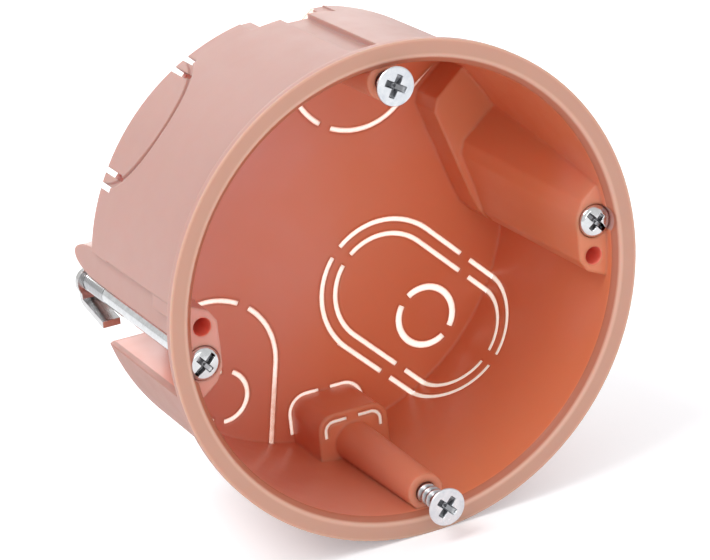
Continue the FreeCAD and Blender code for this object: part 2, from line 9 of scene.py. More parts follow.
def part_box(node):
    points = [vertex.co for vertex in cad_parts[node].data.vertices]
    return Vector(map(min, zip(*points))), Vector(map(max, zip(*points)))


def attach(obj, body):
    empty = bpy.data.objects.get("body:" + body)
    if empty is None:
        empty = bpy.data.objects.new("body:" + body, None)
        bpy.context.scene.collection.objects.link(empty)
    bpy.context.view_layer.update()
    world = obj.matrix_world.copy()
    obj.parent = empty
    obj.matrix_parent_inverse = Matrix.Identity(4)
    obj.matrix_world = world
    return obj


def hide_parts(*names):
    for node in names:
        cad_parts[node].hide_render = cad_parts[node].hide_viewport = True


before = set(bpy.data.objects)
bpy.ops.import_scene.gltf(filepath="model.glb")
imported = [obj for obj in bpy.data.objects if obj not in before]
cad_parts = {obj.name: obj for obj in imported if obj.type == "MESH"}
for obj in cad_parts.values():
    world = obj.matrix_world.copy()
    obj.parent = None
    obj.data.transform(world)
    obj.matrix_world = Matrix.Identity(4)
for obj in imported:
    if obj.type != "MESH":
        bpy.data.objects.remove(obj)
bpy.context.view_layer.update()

# Round hollow-wall box of salmon plastic with two device screws and two screw-driven claws
MM = 0.001

# Places and sizes that the pieces share, in millimetres; they follow the part's source. The
# spare hole's radius is a hair larger, so that the painted red glow takes in its wall, and its
# depth ends the painted glow behind the hole.
SCREW_PLACE = 30.0
CLAW_PLACE = 30.5
CLAW_TURN = math.radians(5.0)
SPARE_AXIS = (29.90, -2.41)
SPARE_RADIUS = 1.31
SPARE_DEPTH = 14.0
RIM_MIDDLE, RIM_HALF = 34.35, 1.15
BODY_RADIUS = 33.5
INNER_RADIUS = 32.2
REAR_FACE = 33.1
INNER_FLOOR = 31.8
FLOOR_Z = -35.5

# Knock-outs: the double cable exit at the side, two single exits, and steps behind the posts
EXIT_TURN = -45.0
EXIT_PLACE = 16.6
EXIT_HALVES = (10.6, 8.4)
EXIT_RING_PLACE, EXIT_RING = 25.0, 4.5
SINGLE_HALF, SINGLE_RING = 10.15, 3.9
STEP_FLAT, STEP_CENTRE, STEP_DEEP = 3.0, 27.5, 10.4
SLOT_HALF, RING_SLOT_HALF, FINE_SLOT_HALF = 0.45, 0.6, 0.35

# Thin webs in the slots, which only the scene has: how far they are sunk and how thick they are
WEB_SUNK, WEB_THICK = 0.06, 0.18

# Kinds of socket in the shared shader groups
COLOUR, NUMBER = "NodeSocketColor", "NodeSocketFloat"


def polar(place, angle):
    """Point (x, z) at a distance from the box's axis, at an angle in degrees from X."""
    return place * math.cos(math.radians(angle)), place * math.sin(math.radians(angle))


def node_box(name):
    """Low and high corner of a CAD node in millimetres."""
    low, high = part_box(name)
    return np.array(low) / MM, np.array(high) / MM


def grid_faces(rows, columns, wrap=False):
    """Quads between neighbouring points of a rows x columns grid, as index arrays.

    Cell (i, j) joins i*c+j, i*c+j+1, (i+1)*c+j+1 and (i+1)*c+j; with wrap the last
    column joins the first."""
    i = np.arange(rows - 1)[:, None]
    j = np.arange(columns if wrap else columns - 1)[None, :]
    right = (j + 1) % columns
    quads = np.stack(
        np.broadcast_arrays(i * columns + j, i * columns + right,
                            (i + 1) * columns + right, (i + 1) * columns + j), axis=-1)
    return quads.reshape(-1, 4)


def mesh_piece(name, parts, material, body, stands_for=(), angle=40.0):
    """Object from a list of (points in mm, faces, recess), merged where they meet.

    The recess is the share of painted shade: 0 on an open face and 1 at the bottom of a driver
    recess or a thread valley, one value for each point or one for all of them; the material reads
    it as the attribute "recess". On the webs it is the share of the border instead, where the
    painted glow gives way to the plastic's colour."""
    points, faces, recess, start = [], [], [], 0
    for part_points, part_faces, part_recess in parts:
        points.append(np.asarray(part_points, float).reshape(-1, 3))
        recess.append(np.broadcast_to(part_recess, len(points[-1])))
        faces += [tuple(int(index) + start for index in face) for face in part_faces]
        start += len(points[-1])
    mesh = bpy.data.meshes.new(name)
    mesh.from_pydata((np.concatenate(points) * MM).tolist(), [], faces)
    shade = mesh.attributes.new("recess", "FLOAT", "POINT")
    shade.data.foreach_set("value", np.concatenate(recess).astype(np.float32))
    mesh.validate()
    sheet = bmesh.new()
    sheet.from_mesh(mesh)
    bmesh.ops.remove_doubles(sheet, verts=sheet.verts, dist=0.002 * MM)
    bmesh.ops.recalc_face_normals(sheet, faces=sheet.faces)
    sheet.to_mesh(mesh)
    sheet.free()
    mesh.shade_smooth()
    mesh.set_sharp_from_angle(angle=math.radians(angle))
    piece = bpy.data.objects.new(name, mesh)
    bpy.context.scene.collection.objects.link(piece)
    mesh.materials.append(material)
    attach(piece, body)
    if stands_for:
        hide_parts(*stands_for)
    return piece


def smooth(value):
    """Cubic step 3t^2 - 2t^3 of a value held between 0 and 1."""
    t = np.clip(value, 0, 1)
    return t * t * (3 - 2 * t)


def turned(profile, around, columns):
    """Surface of revolution about Y: (r, y) pairs carried round the axis at (x, z)."""
    angle = np.linspace(0, 2 * np.pi, columns, endpoint=False)
    radius = np.array([r for r, _ in profile])[:, None]
    depth = np.array([y for _, y in profile])[:, None]
    points = np.stack([around[0] + radius * np.cos(angle), depth + 0 * angle,
                       around[1] + radius * np.sin(angle)], axis=-1)
    return points.reshape(-1, 3), grid_faces(len(profile), columns, wrap=True), 0.0


def cross_depth(across, along, arm, half, deep, slot_half=0.0, slot_deep=0.0):
    """Depth of a driver recess at points (across, along) of a head.

    The cross is the larger of two bars. Each bar is deep in the middle and rises towards its
    end as deep * (1 - 0.75 d / arm), with walls that fall over about 0.12 mm. A slot right
    across the head may be laid over it."""
    def bar(length, width):
        inside = smooth((half - np.abs(width)) / 0.12 + 0.5)
        ends = smooth((arm - np.abs(length)) / 0.14 + 0.5)
        return inside * ends * deep * (1 - 0.75 * np.clip(np.abs(length) / arm, 0, 1))
    cross = np.maximum(bar(across, along), bar(along, across))
    if slot_half:
        cross = np.maximum(cross, slot_deep * smooth((slot_half - np.abs(along)) / 0.12 + 0.5))
    return cross


def driven_face(radius, front, dome, around, turn, arm, half, deep, slot=(0.0, 0.0)):
    """Front of a screw head on a polar grid.

    Height is front + dome * (r / radius)^2 plus the driver recess, so y grows with depth."""
    rings, columns = 46, 144
    r = (np.linspace(0, 1, rings) ** 0.85 * radius)[:, None]
    angle = np.linspace(0, 2 * np.pi, columns, endpoint=False)[None, :]
    across, along = r * np.cos(angle - turn), r * np.sin(angle - turn)
    sunk = cross_depth(across, along, arm, half, deep, *slot)
    depth = front + dome * (r / radius) ** 2 + sunk
    points = np.stack([around[0] + r * np.cos(angle), depth,
                       around[1] + r * np.sin(angle)], axis=-1)
    # Painted shade in the driver recess, full from 0.45 of its depth.
    recess = np.clip(sunk / (0.45 * deep), 0, 1).ravel()
    return points.reshape(-1, 3), grid_faces(rings, columns, wrap=True), recess


def threaded(core, crest, pitch, start, end, around, fade=1.0):
    """Screw thread: radius core + (crest - core) * ridge of the phase y / pitch - angle / 2pi.

    The ridge is a triangle wave with a flat root, sharpened by a power, and it fades in and
    out over the fade length at both ends."""
    columns = 40
    rows = int((end - start) / pitch * 12) + 2
    y = np.linspace(start, end, rows)[:, None]
    angle = np.linspace(0, 2 * np.pi, columns, endpoint=False)[None, :]
    phase = (y / pitch - angle / (2 * np.pi)) % 1.0
    ridge = np.clip(1.15 - 2.6 * np.abs(phase - 0.5), 0, 1) ** 1.2
    alive = smooth((y - start) / fade) * smooth((end - y) / fade)
    radius = core + (crest - core) * ridge * alive
    points = np.stack([around[0] + radius * np.cos(angle), y + 0 * angle,
                       around[1] + radius * np.sin(angle)], axis=-1)
    # Painted shade in the thread's valleys, fading with the thread at its ends.
    valley = ((1 - ridge) ** 0.6 * alive).ravel()
    return points.reshape(-1, 3), grid_faces(rows, columns, wrap=True), valley


# Materials
def new_group(name, inputs, outputs):
    """Empty shader node group with its sockets; each input is (name, socket type, default)."""
    group = bpy.data.node_groups.new(name, "ShaderNodeTree")
    for label, kind, default in inputs:
        socket = group.interface.new_socket(label, in_out="INPUT", socket_type=kind)
        if default is not None:
            socket.default_value = default
    for label, kind in outputs:
        group.interface.new_socket(label, in_out="OUTPUT", socket_type=kind)
    return group, group.nodes.new("NodeGroupInput"), group.nodes.new("NodeGroupOutput")


def noise(tree, scale, detail, roughness, vector):
    """Noise texture fed with a vector."""
    node = tree.nodes.new("ShaderNodeTexNoise")
    node.inputs["Scale"].default_value = scale
    node.inputs["Detail"].default_value = detail
    node.inputs["Roughness"].default_value = roughness
    tree.links.new(vector, node.inputs["Vector"])
    return node.outputs["Fac"]


def remap(tree, value, low, high, to_low, to_high):
    """Value stretched from one range to another and held inside it."""
    node = tree.nodes.new("ShaderNodeMapRange")
    for name, number in (("From Min", low), ("From Max", high),
                         ("To Min", to_low), ("To Max", to_high)):
        node.inputs[name].default_value = number
    tree.links.new(value, node.inputs["Value"])
    return node.outputs["Result"]


def joined(tree, operation, first, second):
    """Two values joined by one operation and held between 0 and 1."""
    node = tree.nodes.new("ShaderNodeMath")
    node.operation = operation
    node.use_clamp = True
    tree.links.new(first, node.inputs[0])
    tree.links.new(second, node.inputs[1])
    return node.outputs["Value"]


def from_axis(tree, place):
    """Distance of a place from the box's axis."""
    flat = tree.nodes.new("ShaderNodeVectorMath")
    flat.operation = "MULTIPLY"
    flat.inputs[1].default_value = (1.0, 0.0, 1.0)
    tree.links.new(place, flat.inputs[0])
    length = tree.nodes.new("ShaderNodeVectorMath")
    length.operation = "LENGTH"
    tree.links.new(flat.outputs["Vector"], length.inputs[0])
    return length.outputs["Value"]


def rim_edge_highlight_mask(tree, radius):
    """1 along the rim's inner and outer edge, where the painted highlight goes, 0 in its middle, as
    |r - middle| grows.
    """
    away = tree.nodes.new("ShaderNodeMath")
    away.operation = "SUBTRACT"
    tree.links.new(radius, away.inputs[0])
    away.inputs[1].default_value = RIM_MIDDLE * MM
    size = tree.nodes.new("ShaderNodeMath")
    size.operation = "ABSOLUTE"
    tree.links.new(away.outputs["Value"], size.inputs[0])
    return remap(tree, size.outputs["Value"],
                 (RIM_HALF - 0.4) * MM, (RIM_HALF - 0.05) * MM, 0.0, 1.0)


def mouth_mask(tree, depth, radius):
    """1 on the slope inside the rim, which takes a painted shade: in front of the board and within
    the flange's front.
    """
    before = remap(tree, depth, -0.1 * MM, -0.2 * MM, 0.0, 1.0)
    within = remap(tree, radius, 33.25 * MM, 33.35 * MM, 1.0, 0.0)
    return joined(tree, "MULTIPLY", before, within)


def outside_mask(tree, depth, radius, mouth):
    """1 on the outside of the cup and on its flange, where the paler painted sheen goes, 0 inside
    the cup and on the mouth's slope.

    It is the larger of two steps: one over the distance from the axis, between the inner
    face of the side wall and the ribs, less the mouth's slope, and one over the depth,
    inside the rear wall."""
    around = remap(tree, radius, 32.25 * MM, 32.38 * MM, 0.0, 1.0)
    around = joined(tree, "SUBTRACT", around, mouth)
    behind = remap(tree, depth, (INNER_FLOOR + 0.5) * MM, REAR_FACE * MM, 0.0, 1.0)
    return joined(tree, "MAXIMUM", around, behind)


def bore_glow_mask(tree, place, depth):
    """1 inside the two spare screw holes, where a red glow is painted, from the distance to their
    axes and the depth, 0 elsewhere."""
    flat = tree.nodes.new("ShaderNodeVectorMath")
    flat.operation = "MULTIPLY"
    flat.inputs[1].default_value = (1.0, 0.0, 1.0)
    tree.links.new(place, flat.inputs[0])
    inside = None
    for side in (1, -1):
        away = tree.nodes.new("ShaderNodeVectorMath")
        away.operation = "DISTANCE"
        away.inputs[1].default_value = (side * SPARE_AXIS[0] * MM, 0.0, side * SPARE_AXIS[1] * MM)
        tree.links.new(flat.outputs["Vector"], away.inputs[0])
        near = remap(tree, away.outputs["Value"],
                     SPARE_RADIUS * MM, (SPARE_RADIUS + 0.06) * MM, 1.0, 0.0)
        inside = near if inside is None else joined(tree, "MAXIMUM", inside, near)
    shallow = remap(tree, depth, SPARE_DEPTH * MM, (SPARE_DEPTH + 0.5) * MM, 1.0, 0.0)
    return joined(tree, "MULTIPLY", inside, shallow)


def blend_colour(tree, mask, first, second):
    """Colour that goes from the first to the second as the mask goes from 0 to 1."""
    mix = tree.nodes.new("ShaderNodeMix")
    mix.data_type = "RGBA"
    tree.links.new(mask, mix.inputs["Factor"])
    tree.links.new(first, mix.inputs["A"])
    tree.links.new(second, mix.inputs["B"])
    return mix.outputs["Result"]


def moulded_group():
    """Moulded plastic: a glossy inside that drifts from its colour towards a pinker painted sheen
    on its left and upper side, with random tone, a painted shade on the slope inside the rim, a
    paler and duller outside whose paleness is a painted sheen and which takes a deeper painted
    shade downwards, a rim with its own tone and a painted highlight along its edges, a painted red
    glow in the spare holes, faint patches of roughness, and a fine grain with slow waves as height.
    Edge is the radius of the shader's rounding, larger inside than outside."""
    group, given, out = new_group(
        "moulded_plastic",
        [("Colour", COLOUR, (0.7, 0.3, 0.2, 1)),
         ("Second colour", COLOUR, (0.7, 0.3, 0.2, 1)),
         ("Outside colour", COLOUR, (0.7, 0.4, 0.3, 1)),
         ("Lower colour", COLOUR, (0.5, 0.25, 0.2, 1)),
         ("Mouth colour", COLOUR, (0.5, 0.2, 0.1, 1)),
         ("Rim colour", COLOUR, (0.6, 0.34, 0.26, 1)),
         ("Rim edge colour", COLOUR, (0.7, 0.45, 0.36, 1)),
         ("Bore painted glow colour", COLOUR, (0.97, 0.24, 0.17, 1)),
         ("Roughness", NUMBER, 0.4),
         ("Outside roughness", NUMBER, 0.5), ("Grain", NUMBER, 1.0)],
        [("Colour", COLOUR), ("Roughness", NUMBER), ("Height", NUMBER), ("Edge", NUMBER)])
    place = group.nodes.new("ShaderNodeTexCoord").outputs["Object"]
    split = group.nodes.new("ShaderNodeSeparateXYZ")
    group.links.new(place, split.inputs["Vector"])
    radius = from_axis(group, place)
    mouth = mouth_mask(group, split.outputs["Y"], radius)
    outside = outside_mask(group, split.outputs["Y"], radius, mouth)
    front = remap(group, split.outputs["Y"], -0.8 * MM, -1.05 * MM, 0.0, 1.0)
    cloud = remap(group, noise(group, 55.0, 2.0, 0.5, place), 0.3, 0.7, -0.25, 0.25)
    # Painted sheen: the inside turns pinker to the left and upwards, where it faces the light, with
    # random tone from the cloud.
    sideways = remap(group, split.outputs["X"], 10.0 * MM, -24.0 * MM, 0.0, 1.0)
    upwards = remap(group, split.outputs["Z"], -18.0 * MM, 12.0 * MM, 0.55, 1.0)
    painted_sheen_and_tone = joined(group, "MULTIPLY", joined(group, "ADD", sideways, cloud), upwards)
    inner = blend_colour(group, painted_sheen_and_tone, given.outputs["Colour"], given.outputs["Second colour"])
    # Painted shade on the slope inside the rim, which faces the front.
    inner = blend_colour(group, mouth, inner, given.outputs["Mouth colour"])
    # Painted shade: the outside turns darker and deeper downwards.
    lower = remap(group, split.outputs["Z"], 6.0 * MM, -22.0 * MM, 0.0, 0.8)
    outer = blend_colour(group, lower, given.outputs["Outside colour"],
                         given.outputs["Lower colour"])
    # Painted sheen: the outside takes its paler, duller colour, which stands for the haze of the
    # white surroundings, and the inside its deeper one.
    walls = blend_colour(group, outside, inner, outer)
    # Painted highlight along the rim's inner and outer edges.
    rim = blend_colour(group, rim_edge_highlight_mask(group, radius), given.outputs["Rim colour"],
                       given.outputs["Rim edge colour"])
    skin = blend_colour(group, front, walls, rim)
    # Painted red glow in the spare holes.
    painted_bore_glow = bore_glow_mask(group, place, split.outputs["Y"])
    colour = blend_colour(group, painted_bore_glow, skin, given.outputs["Bore painted glow colour"])
    group.links.new(colour, out.inputs["Colour"])
    either = joined(group, "MAXIMUM", outside, front)
    group.links.new(remap(group, either, 0.0, 1.0, 0.8 * MM, 0.4 * MM), out.inputs["Edge"])
    level = group.nodes.new("ShaderNodeMix")
    group.links.new(outside, level.inputs["Factor"])
    group.links.new(given.outputs["Roughness"], level.inputs["A"])
    group.links.new(given.outputs["Outside roughness"], level.inputs["B"])
    patches = remap(group, noise(group, 240.0, 4.0, 0.6, place), 0.3, 0.7, -0.05, 0.05)
    rough = group.nodes.new("ShaderNodeMath")
    rough.operation = "ADD"
    group.links.new(level.outputs["Result"], rough.inputs[0])
    group.links.new(patches, rough.inputs[1])
    group.links.new(rough.outputs["Value"], out.inputs["Roughness"])
    grain = noise(group, 5200.0, 3.0, 0.6, place)
    waves = noise(group, 130.0, 2.0, 0.5, place)
    weight = group.nodes.new("ShaderNodeMath")
    weight.operation = "MULTIPLY_ADD"
    group.links.new(grain, weight.inputs[0])
    group.links.new(given.outputs["Grain"], weight.inputs[1])
    group.links.new(waves, weight.inputs[2])
    group.links.new(weight.outputs["Value"], out.inputs["Height"])
    return group


def metal_group():
    """Plated metal: fine cloudy stains as colour and roughness, a light scratch height, and
    painted shade in driver recesses and thread valleys from the attribute "recess"."""
    group, given, out = new_group(
        "plated_metal",
        [("Colour", COLOUR, (0.8, 0.8, 0.8, 1)),
         ("Stain", COLOUR, (0.6, 0.6, 0.6, 1)),
         ("Recess colour", COLOUR, (0.05, 0.05, 0.05, 1)),
         ("Roughness", NUMBER, 0.3), ("Spread", NUMBER, 0.1)],
        [("Colour", COLOUR), ("Roughness", NUMBER), ("Height", NUMBER)])
    place = group.nodes.new("ShaderNodeTexCoord").outputs["Object"]
    cloud = remap(group, noise(group, 900.0, 5.0, 0.65, place), 0.35, 0.75, 0.0, 1.0)
    stained = blend_colour(group, cloud, given.outputs["Colour"], given.outputs["Stain"])
    # Painted shade: recesses and thread valleys take the recess colour by the attribute "recess".
    sunk = group.nodes.new("ShaderNodeAttribute")
    sunk.attribute_name = "recess"
    colour = blend_colour(group, sunk.outputs["Fac"], stained, given.outputs["Recess colour"])
    group.links.new(colour, out.inputs["Colour"])
    rough = group.nodes.new("ShaderNodeMath")
    rough.operation = "MULTIPLY_ADD"
    group.links.new(cloud, rough.inputs[0])
    group.links.new(given.outputs["Spread"], rough.inputs[1])
    group.links.new(given.outputs["Roughness"], rough.inputs[2])
    group.links.new(rough.outputs["Value"], out.inputs["Roughness"])
    group.links.new(noise(group, 7000.0, 2.0, 0.5, place), out.inputs["Height"])
    return group


def finish_material(name, group, values, height, edge, metallic=0.0, **constants):
    """Principled material whose colour, roughness and bump come from a shared group, and the
    radius of its rounded edges too, where the group gives one."""
    material = bpy.data.materials.new(name)
    material.use_nodes = True
    tree = material.node_tree
    shader = tree.nodes["Principled BSDF"]
    shader.inputs["Metallic"].default_value = metallic
    for label, number in constants.items():
        shader.inputs[label.replace("_", " ")].default_value = number
    node = tree.nodes.new("ShaderNodeGroup")
    node.node_tree = group
    for label, number in values.items():
        node.inputs[label].default_value = number
    bump = tree.nodes.new("ShaderNodeBump")
    bump.inputs["Strength"].default_value = height
    bump.inputs["Distance"].default_value = 0.05 * MM
    rounded = tree.nodes.new("ShaderNodeBevel")
    rounded.samples = 6
    rounded.inputs["Radius"].default_value = edge * MM
    if "Edge" in node.outputs:
        tree.links.new(node.outputs["Edge"], rounded.inputs["Radius"])
    tree.links.new(rounded.outputs["Normal"], bump.inputs["Normal"])
    tree.links.new(node.outputs["Colour"], shader.inputs["Base Color"])
    tree.links.new(node.outputs["Roughness"], shader.inputs["Roughness"])
    tree.links.new(node.outputs["Height"], bump.inputs["Height"])
    tree.links.new(bump.outputs["Normal"], shader.inputs["Normal"])
    return material


plastic_group = moulded_group()
plated_group = metal_group()
# Besides the plastic's own colours, these set the pinker painted sheen inside, the paler painted
# sheen outside, the painted shade downwards outside and on the mouth's slope, and the painted
# highlight along the rim's edges.
plastic = finish_material(
    "salmon_plastic", plastic_group,
    {"Colour": (0.71, 0.225, 0.105, 1), "Second colour": (0.72, 0.335, 0.29, 1),
     "Outside colour": (0.54, 0.315, 0.275, 1), "Lower colour": (0.42, 0.18, 0.13, 1),
     "Mouth colour": (0.46, 0.15, 0.085, 1), "Rim colour": (0.58, 0.325, 0.24, 1),
     "Rim edge colour": (0.70, 0.43, 0.33, 1),
     "Roughness": 0.34, "Outside roughness": 0.5, "Grain": 0.6},
    height=0.25, edge=0.4, Subsurface_Weight=0.4, Subsurface_Scale=0.0024,
    Subsurface_Radius=(1.0, 0.35, 0.2), IOR=1.5)


def glowing_web_material():
    """Thin web of a knock-out: painted pale and glowing along its middle, with an emission that
    stands for light shining through it, and fading into the plastic's colour and a faint orange
    painted glow towards the slot's edges, by the attribute "recess"."""
    material = bpy.data.materials.new("thin_web_painted_glow")
    material.use_nodes = True
    tree = material.node_tree
    shader = tree.nodes["Principled BSDF"]
    edge = tree.nodes.new("ShaderNodeAttribute")
    edge.attribute_name = "recess"
    place = tree.nodes.new("ShaderNodeTexCoord").outputs["Object"]
    uneven = remap(tree, noise(tree, 900.0, 3.0, 0.6, place), 0.3, 0.7, -0.12, 0.12)
    mask = joined(tree, "ADD", edge.outputs["Fac"], uneven)
    # Painted glow: the middle is pale and emits light as if lit from behind, and the border keeps
    # the plastic's colour with a faint orange glow.
    for socket, middle, border in (("Base Color", (0.97, 0.88, 0.76, 1), (0.72, 0.28, 0.17, 1)),
                                   ("Emission Color", (1.0, 0.88, 0.72, 1), (0.35, 0.08, 0.03, 1))):
        mix = tree.nodes.new("ShaderNodeMix")
        mix.data_type = "RGBA"
        mix.inputs["A"].default_value = middle
        mix.inputs["B"].default_value = border
        tree.links.new(mask, mix.inputs["Factor"])
        tree.links.new(mix.outputs["Result"], shader.inputs[socket])
    for label, number in (("Roughness", 0.4), ("Subsurface Weight", 1.0),
                          ("Subsurface Scale", 0.004), ("Subsurface Radius", (1.0, 0.9, 0.8)),
                          ("Emission Strength", 0.5)):
        shader.inputs[label].default_value = number
    bump = tree.nodes.new("ShaderNodeBump")
    bump.inputs["Strength"].default_value = 0.1
    bump.inputs["Distance"].default_value = 0.05 * MM
    tree.links.new(noise(tree, 5200.0, 3.0, 0.6, place), bump.inputs["Height"])
    tree.links.new(bump.outputs["Normal"], shader.inputs["Normal"])
    return material


web = glowing_web_material()
# The screws' recess colours are painted shade in their driver recesses and thread valleys.
zinc = finish_material(
    "white_zinc", plated_group,
    {"Colour": (0.88, 0.895, 0.915, 1), "Stain": (0.68, 0.72, 0.77, 1),
     "Recess colour": (0.26, 0.265, 0.28, 1),
     "Roughness": 0.26, "Spread": 0.14},
    height=0.3, edge=0.06, metallic=1.0)
bright = finish_material(
    "bright_plating", plated_group,
    {"Colour": (0.82, 0.83, 0.84, 1), "Stain": (0.66, 0.67, 0.68, 1),
     "Recess colour": (0.22, 0.22, 0.23, 1),
     "Roughness": 0.12, "Spread": 0.08},
    height=0.12, edge=0.06, metallic=1.0)
steel = finish_material(
    "claw_strip", plated_group,
    {"Colour": (0.74, 0.74, 0.74, 1), "Stain": (0.60, 0.58, 0.57, 1),
     "Roughness": 0.14, "Spread": 0.10},
    height=0.15, edge=0.12, metallic=1.0)


def finish_node(name, material):
    """Give a CAD node its material and leave its shape as it is."""
    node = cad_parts[name]
    node.data.materials.clear()
    node.data.materials.append(material)


finish_node("box_shell", plastic)
finish_node("claw_left", steel)
finish_node("claw_right", steel)


def arc_path(cx, cz, radius, start, end, steps=48):
    """Points (x, z) on a circle about (cx, cz), from one angle in degrees to another."""
    angle = np.radians(np.linspace(start, end, steps))
    return np.stack([cx + radius * np.cos(angle), cz + radius * np.sin(angle)], axis=-1)


def arch_path(cx, cz, half, axis, reach=40.0):
    """Half circle about (cx, cz) with a straight side from each end along the angle axis."""
    along = np.array(polar(reach, axis))
    curve = arc_path(cx, cz, half, axis + 90, axis + 270)
    steps = np.linspace(0, 1, 60)[:, None]
    return np.concatenate([curve[0] + along * steps[::-1], curve[1:-1], curve[-1] + along * steps])


def step_path(side, radius, centre, flat, top):
    """Line round a step: down one side, along its face and up the other, with round corners.

    The corners have their centres at (-flat, centre) and (flat, centre), and the line on the
    lower step is turned by half a turn."""
    left = arc_path(-flat, centre, radius, 180, 270, 14)
    right = arc_path(flat, centre, radius, -90, 0, 14)
    rise = np.array([[0.0, top - centre]])
    return side * np.concatenate([left[:1] + rise, left, right, right[-1:] + rise])


def strip(rows, recess):
    """Closed strip from its lines of points, taken round its section, with both ends closed.

    The recess has one value for each line of the section, or one for each point."""
    sides, count = len(rows), len(rows[0])
    points = np.stack(rows, axis=1).reshape(-1, 3)
    faces = [tuple(face) for face in grid_faces(count, sides, wrap=True)]
    ends = [tuple(range(sides))[::-1], tuple(range(len(points) - sides, len(points)))]
    return points, faces + ends, np.broadcast_to(recess, (count, sides)).ravel()


# Section of a web: places across it from -1 to 1, first on its front and then on its back
ACROSS = np.array([-1.0, -0.72, -0.4, 0.0, 0.4, 0.72, 1.0, 1.0, -1.0])
ON_BACK = np.array([False] * 7 + [True] * 2)


def web_edge(core):
    """How far each line of a web's section belongs to its border: 0 within the core's share
    of the width, 1 at the edge, by a smooth step."""
    return smooth((np.abs(ACROSS) - core) / (1.0 - core))


def ribbon(path, half, front, core, fading=0.0):
    """Thin flat web along a path of (x, z) points: each point is moved across the path by a
    share of the half width, at the front depth and, a web's thickness behind it, at the back.

    The fading is 1 where the web takes its border's colour, without the painted glow of its middle,
    over its whole width."""
    step = np.gradient(path, axis=0)
    normal = np.stack([-step[:, 1], step[:, 0]], axis=-1) / np.linalg.norm(step, axis=1)[:, None]
    rows = [np.insert(path + share * half * normal, 1, front + WEB_THICK * behind, axis=1)
            for share, behind in zip(ACROSS, ON_BACK)]
    fading = np.broadcast_to(fading, len(path))[:, None]
    return strip(rows, np.maximum(web_edge(core), fading))


def straight_fading(path, x, z, axis):
    """Fading of an arch's painted glow about (x, z): 0 on its curve, where it glows, 0.92 from 6 mm
    along its straight sides.
    """
    along = (path - (x, z)) @ polar(1.0, axis)
    return 0.92 * smooth(along / 6.0)


def wall_ribbon(half, width, turn):
    """Thin strip on the inner face of the side wall, along the curved end of a cable exit.

    Its middle line is half a circle of radius half about the rear wall's inner face, seen
    along the exit and laid on the cylinder: y = floor - half sin(a), x = sqrt(r^2 - z^2)
    with z = half cos(a). The angle turn carries it round the axis."""
    angle = np.linspace(0.06, np.pi - 0.06, 64)
    place = np.array([math.cos(turn), math.sin(turn)])
    side = np.array([-math.sin(turn), math.cos(turn)])
    rows = []
    for share, behind in zip(ACROSS, ON_BACK):
        ring, wall = half + share * width, INNER_RADIUS + WEB_SUNK + WEB_THICK * behind
        across = ring * np.cos(angle)
        x, z = (np.sqrt(wall ** 2 - across ** 2)[:, None] * place + across[:, None] * side).T
        rows.append(np.stack([x, INNER_FLOOR - ring * np.sin(angle), z], axis=-1))
    return strip(rows, web_edge(0.3))


def inside_wall(path):
    """The stretch of a path that lies within the side wall's middle radius."""
    middle = (BODY_RADIUS + INNER_RADIUS) / 2
    return path[np.hypot(path[:, 0], path[:, 1]) < middle]


def knock_out_webs():
    """Thin translucent webs with a painted glow that close the slots of the knock-outs, just inside
    the cup.
    """
    floor_front, step_front = INNER_FLOOR + WEB_SUNK, REAR_FACE - STEP_DEEP + WEB_SUNK
    exit_centre, ring_centre = polar(EXIT_PLACE, EXIT_TURN), polar(EXIT_RING_PLACE, EXIT_TURN)
    lines = [(arch_path(*exit_centre, half, EXIT_TURN), SLOT_HALF, 0.3) for half in EXIT_HALVES]
    lines.append((arc_path(*ring_centre, EXIT_RING, 0, 360), RING_SLOT_HALF, 0.4))
    parts = []
    for place, angle, axis in ((25.63, 67.0, 34.0), (24.05, 224.3, -100.0)):
        x, z = polar(place, angle)
        path = inside_wall(arch_path(x, z, SINGLE_HALF, axis))
        fading = straight_fading(path, x, z, axis)
        parts.append(ribbon(path, SLOT_HALF, floor_front, 0.05, fading))
    for place, angle in ((27.64, 62.4), (26.93, 233.3)):
        lines.append((arc_path(*polar(place, angle), SINGLE_RING, 0, 360), SLOT_HALF, 0.15))
    lines += [(step_path(side, 2.9, STEP_CENTRE, STEP_FLAT, 31.5), FINE_SLOT_HALF, 0.1)
              for side in (1, -1)]
    parts += [ribbon(inside_wall(path), half, floor_front, core) for path, half, core in lines]
    parts += [ribbon(step_path(side, 1.4, STEP_CENTRE, STEP_FLAT, 28.5),
                     FINE_SLOT_HALF, step_front, 0.0) for side in (1, -1)]
    parts += [wall_ribbon(half, SLOT_HALF, math.radians(EXIT_TURN)) for half in EXIT_HALVES]
    return mesh_piece("knock_out_webs", parts, web, "housing", angle=30.0)


knock_out_webs()


def device_screw(name, body, side, turn):
    """Countersunk screw: recessed flat face, rounded brim, cone, short neck and coarse thread."""
    low, high = node_box(name)
    front, back = low[1], high[1]
    head = (high[0] - low[0]) / 2
    around = (0.0, side * SCREW_PLACE)
    core, crest, cone = 1.12, 1.5, 1.7
    brim = [(head - 0.22, front), (head - 0.08, front + 0.04), (head, front + 0.16),
            (head - 0.02, front + 0.28), (1.62, front + cone - 0.25), (1.42, front + cone),
            (1.36, front + cone + 0.25), (core, front + cone + 0.6)]
    tip = [(core, back - 1.0), (0.85, back - 0.45), (0.5, back - 0.12), (0.0, back)]
    parts = [
        driven_face(head - 0.22, front, 0.0, around, turn, 1.6, 0.42, 1.25),
        turned(brim, around, 144),
        threaded(core, crest, 1.25, front + cone + 0.6, back - 1.0, around, 0.7),
        turned(tip, around, 40),
    ]
    return mesh_piece(name + "_detailed", parts, zinc, body, (name,), 35.0)


device_screw("device_screw_top", "upper_device_screw", 1, math.radians(-30))
device_screw("device_screw_bottom", "lower_device_screw", -1, math.radians(-43))


